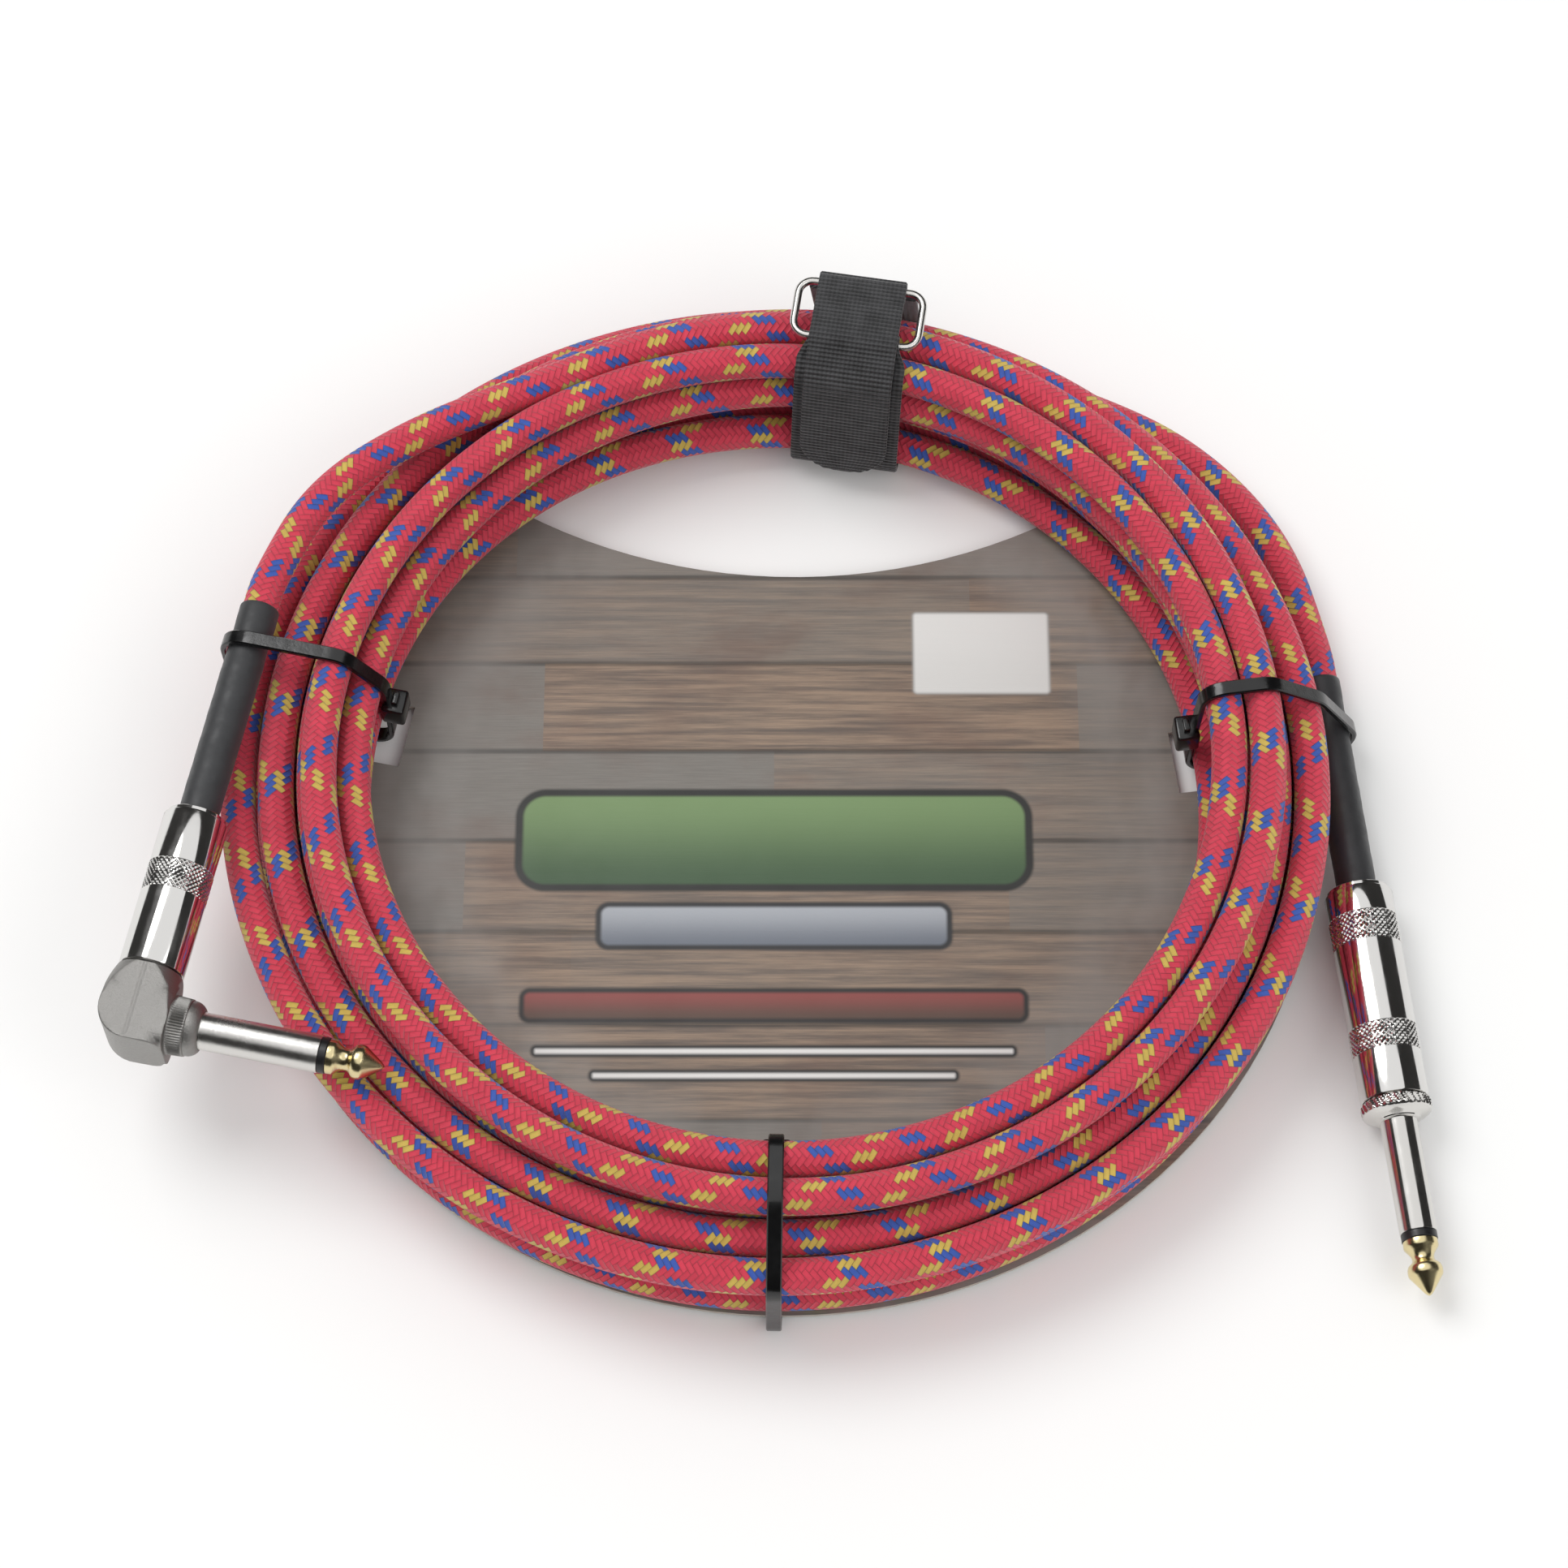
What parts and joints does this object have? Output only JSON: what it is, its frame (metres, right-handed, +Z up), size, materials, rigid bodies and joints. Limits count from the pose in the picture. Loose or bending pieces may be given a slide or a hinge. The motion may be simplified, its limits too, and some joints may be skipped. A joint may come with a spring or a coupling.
{
  "type": "instrument cable",
  "caption": "Coiled instrument cable with a straight plug and a right-angle plug, tied to a round backing card, with a hook-and-loop strap and hanging ring.",
  "frame": {"origin": "under the middle of the object's box, level with the ties' undersides", "axes": "+X towards the straight plug, +Y towards the strap, +Z up off the surface that it lies on"},
  "size_m": [0.2232, 0.1968, 0.034],
  "materials": {
    "gold": "polished gold plate",
    "black_ring": "smooth black plastic",
    "bright_nickel": "polished nickel plate",
    "satin_nickel": "satin nickel on die-cast metal",
    "chrome": "polished chrome with knurled grip",
    "liner": "clear-grey plastic sleeve",
    "heat_shrink": "matte black heat-shrink tube",
    "tinned": "tinned brass",
    "braid": "red woven jacket with blue and mustard tracers",
    "washer": "brown insulating board",
    "core": "white conductor insulation",
    "tie": "glossy black nylon",
    "webbing": "ribbed black webbing",
    "hook_tape": "hook tape",
    "steel_wire": "plated steel wire",
    "card": "printed card with a plank pattern"
  },
  "bodies": {
    "cable": {"straight_tip": "gold", "straight_insulator": "black_ring", "angle_tip": "gold", "angle_insulator": "black_ring", "straight_shank": "bright_nickel", "angle_shank": "bright_nickel", "angle_elbow": "satin_nickel", "straight_boot": "heat_shrink", "straight_clamp": "tinned", "straight_lead": "braid", "angle_boot": "heat_shrink", "angle_clamp": "tinned", "angle_lead": "braid", "straight_washer": "washer", "straight_lug": "tinned", "straight_core": "core", "angle_lug": "tinned", "angle_core": "core", "cord_coil": "braid", "tie_left": "tie", "tie_right": "tie", "tie_bottom": "tie", "strap_band": "webbing", "strap_ring": "steel_wire", "backing_card": "card"},
    "straight_sleeve": {"straight_liner": "liner"},
    "straight_cover": {"straight_barrel": "chrome"},
    "angle_sleeve": {"angle_liner": "liner"},
    "angle_cover": {"angle_barrel": "chrome"},
    "strap_front": {"strap_tail": "webbing", "strap_hook_patch": "hook_tape"}
  },
  "joints": [
    {"name": "straight_cover_slide", "type": "slide", "parent": "cable", "child": "straight_sleeve", "axis": [-0.1045, 0.9945, 0], "range_m": [0, 0.006]},
    {"name": "straight_cover_turn", "type": "hinge", "parent": "straight_sleeve", "child": "straight_cover", "pos_m": [0.10345, -0.04161, 0.00615], "axis": [-0.1045, 0.9945, 0], "range_deg": [0, 2160]},
    {"name": "angle_cover_slide", "type": "slide", "parent": "cable", "child": "angle_sleeve", "axis": [0.2079, 0.9781, 0], "range_m": [0, 0.006]},
    {"name": "angle_cover_turn", "type": "hinge", "parent": "angle_sleeve", "child": "angle_cover", "pos_m": [-0.1016, -0.03094, 0.0248], "axis": [0.2079, 0.9781, 0], "range_deg": [0, 2160]},
    {"name": "strap_peel", "type": "hinge", "parent": "cable", "child": "strap_front", "pos_m": [0.01582, 0.08789, 0.0321], "axis": [-0.9877, 0.1564, 0], "range_deg": [0, 80]}
  ],
  "couplings": [
    {"joint": "straight_cover_turn", "follows": "straight_cover_slide", "rad_per_m": 6283},
    {"joint": "angle_cover_turn", "follows": "angle_cover_slide", "rad_per_m": 6283}
  ]
}
